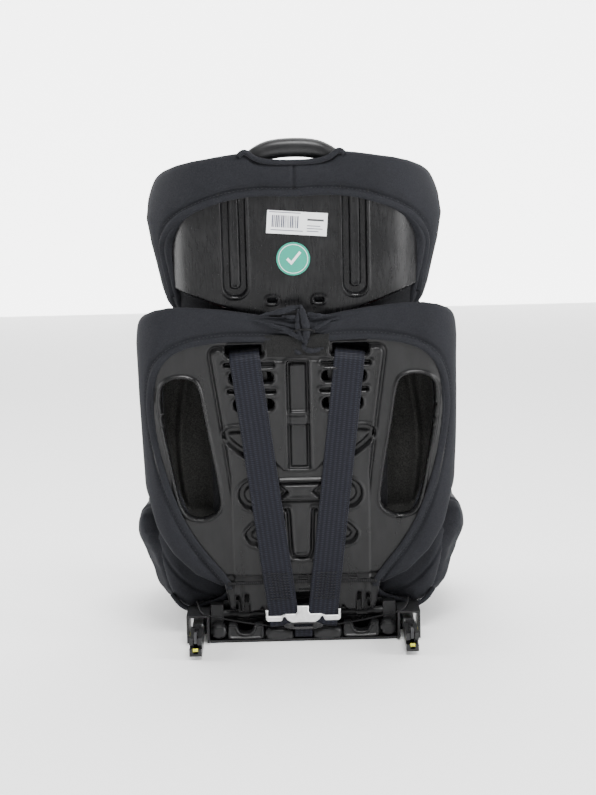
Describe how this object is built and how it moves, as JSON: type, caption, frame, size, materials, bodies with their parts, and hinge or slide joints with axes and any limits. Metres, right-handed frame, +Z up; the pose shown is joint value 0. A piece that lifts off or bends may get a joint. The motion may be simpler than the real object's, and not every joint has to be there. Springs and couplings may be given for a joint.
{
  "type": "child car seat",
  "caption": "High-back child car seat with winged headrest on a release handle, reclining backrest, five-point harness and sliding ISOFIX connectors.",
  "frame": {"origin": "on the floor under the middle of the seat's outline", "axes": "+Z up, the child faces +Y, +X to the child's right-hand side"},
  "size_m": [0.44, 0.47, 0.6654],
  "materials": {
    "shell_black": "gloss",
    "shell_satin": "satin",
    "grey_plastic": "satin",
    "cover_fabric": "matte",
    "webbing": "satin",
    "felt": "matte",
    "zinc": "satin",
    "red_plastic": "gloss",
    "signal_green": "gloss",
    "label_white": "satin",
    "sticker_teal": "gloss"
  },
  "bodies": {
    "base": {"base_shell": "shell_satin", "isofix_housings": "shell_satin", "bottom_tray": "shell_satin", "rear_blocks": "grey_plastic", "hinge_bar": "zinc", "seat_cushion": "cover_fabric", "bolster_left": "cover_fabric", "bolster_right": "cover_fabric", "base_screws": "zinc", "lap_strap_left": "webbing", "lap_strap_right": "webbing", "crotch_strap": "webbing", "crotch_pad": "cover_fabric", "buckle_housing": "shell_satin", "buckle_spring": "zinc", "adjuster_housing": "shell_satin", "adjuster_strap": "webbing", "pull_strap": "webbing"},
    "buckle_button": {"buckle_button": "red_plastic"},
    "tongue_left": {"tongue_left": "zinc"},
    "tongue_right": {"tongue_right": "zinc"},
    "adjuster_lever": {"adjuster_lever": "shell_satin"},
    "isofix_carriage": {"isofix_frame": "zinc", "connector_left": "shell_satin", "connector_right": "shell_satin", "indicator_left": "signal_green", "indicator_right": "signal_green"},
    "hook_left": {"hook_left": "zinc"},
    "hook_right": {"hook_right": "zinc"},
    "isofix_button_left": {"isofix_button_left": "red_plastic"},
    "isofix_button_right": {"isofix_button_right": "red_plastic"},
    "backrest": {"back_shell": "shell_satin", "back_wings": "shell_satin", "back_hooks": "shell_satin", "height_rack": "shell_satin", "back_cushion": "cover_fabric", "wing_pad_left": "cover_fabric", "wing_pad_right": "cover_fabric", "back_cover": "cover_fabric", "shoulder_strap_left": "webbing", "shoulder_strap_right": "webbing", "chest_strap_left": "webbing", "chest_strap_right": "webbing", "shoulder_pad_left": "cover_fabric", "shoulder_pad_right": "cover_fabric", "splitter_plate": "zinc", "elastic_band": "webbing", "felt_strip": "felt"},
    "headrest": {"headrest_shell": "shell_black", "headrest_pad": "cover_fabric", "headrest_cover": "cover_fabric", "rod_guide": "shell_satin", "guide_arms": "shell_satin", "belt_guide_left": "red_plastic", "belt_guide_right": "red_plastic", "info_label": "label_white", "round_sticker": "sticker_teal", "release_springs": "zinc"},
    "release_handle": {"release_handle": "shell_satin", "lock_frame": "zinc"}
  },
  "joints": [
    {"name": "backrest_recline", "type": "hinge", "parent": "base", "child": "backrest", "pos_m": [0, -0.118, 0.032], "axis": [1, 0, 0], "range_deg": [0, 10], "deforming": ["adjuster_strap"]},
    {"name": "headrest_height", "type": "slide", "parent": "backrest", "child": "headrest", "axis": [0, -0.1392, 0.9903], "range_m": [0, 0.12]},
    {"name": "handle_lift", "type": "slide", "parent": "headrest", "child": "release_handle", "axis": [0, -0.1392, 0.9903], "range_m": [0, 0.008], "stiffness_N_per_m": 1500, "springref_m": -0.006, "deforming": ["release_springs"]},
    {"name": "isofix_extend", "type": "slide", "parent": "base", "child": "isofix_carriage", "axis": [0, 1, 0], "range_m": [0, 0.075]},
    {"name": "buckle_press", "type": "slide", "parent": "base", "child": "buckle_button", "axis": [0, -1, 0], "range_m": [0, 0.004], "stiffness_N_per_m": 1200, "springref_m": -0.003, "deforming": ["buckle_spring"]},
    {"name": "adjuster_press", "type": "hinge", "parent": "base", "child": "adjuster_lever", "pos_m": [0, 0.228, 0.075], "axis": [-1, 0, 0], "range_deg": [0, 12], "stiffness_Nm_per_rad": 0.4, "springref_deg": -11.46},
    {"name": "tongue_out_left", "type": "slide", "parent": "base", "child": "tongue_left", "axis": [0, 0, 1], "range_m": [0, 0.03]},
    {"name": "hook_close_left", "type": "hinge", "parent": "isofix_carriage", "child": "hook_left", "pos_m": [-0.14, -0.199, 0.024], "axis": [1, 0, 0], "range_deg": [0, 14]},
    {"name": "isofix_release_left", "type": "slide", "parent": "isofix_carriage", "child": "isofix_button_left", "axis": [0, 0, -1], "range_m": [0, 0.0028], "stiffness_N_per_m": 1200, "springref_m": -0.002},
    {"name": "tongue_out_right", "type": "slide", "parent": "base", "child": "tongue_right", "axis": [0, 0, 1], "range_m": [0, 0.03]},
    {"name": "hook_close_right", "type": "hinge", "parent": "isofix_carriage", "child": "hook_right", "pos_m": [0.14, -0.199, 0.024], "axis": [1, 0, 0], "range_deg": [0, 14]},
    {"name": "isofix_release_right", "type": "slide", "parent": "isofix_carriage", "child": "isofix_button_right", "axis": [0, 0, -1], "range_m": [0, 0.0028], "stiffness_N_per_m": 1200, "springref_m": -0.002}
  ]
}
